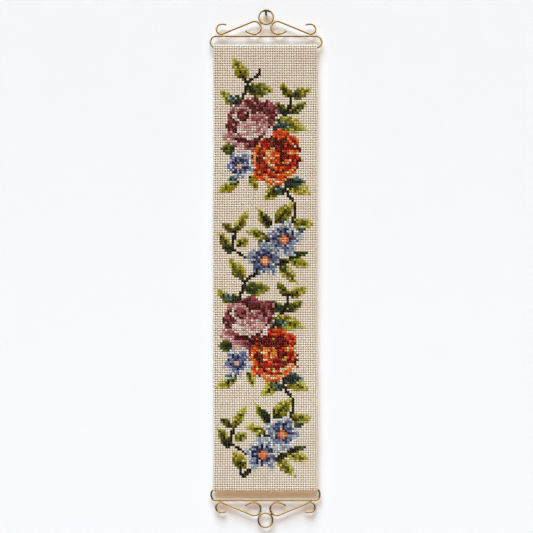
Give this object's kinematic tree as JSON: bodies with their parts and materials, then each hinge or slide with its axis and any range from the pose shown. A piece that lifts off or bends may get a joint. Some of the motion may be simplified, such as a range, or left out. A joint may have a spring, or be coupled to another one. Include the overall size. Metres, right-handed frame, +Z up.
{
  "type": "cross-stitched bell-pull wall hanging on wire scroll fittings, with its wall hook",
  "caption": "Long narrow stitched canvas band that hangs flat on a wall from a ring, held at top and bottom by rods and bent-wire scroll fittings.",
  "frame": {"origin": "middle of the wall hook's peg where it meets the wall", "axes": "+Z up, +Y into the wall, the stitched front faces -Y, +X to the viewer's right"},
  "size_m": [0.1408, 0.0118, 0.6465],
  "materials": {
    "stitched_canvas": "open even-weave canvas in oatmeal cotton, cross-stitched in matt thread",
    "brass_wire": "polished brass wire, lightly aged",
    "black_hook": "satin black"
  },
  "bodies": {
    "root": {"canvas_band": "stitched_canvas", "top_bar": "brass_wire", "top_scroll_left": "brass_wire", "top_scroll_right": "brass_wire", "top_ring": "brass_wire", "top_rod": "brass_wire", "bottom_bar": "brass_wire", "bottom_scroll_left": "brass_wire", "bottom_scroll_right": "brass_wire", "bottom_ring": "brass_wire", "bottom_rod": "brass_wire", "wall_hook": "black_hook"}
  },
  "joints": []
}
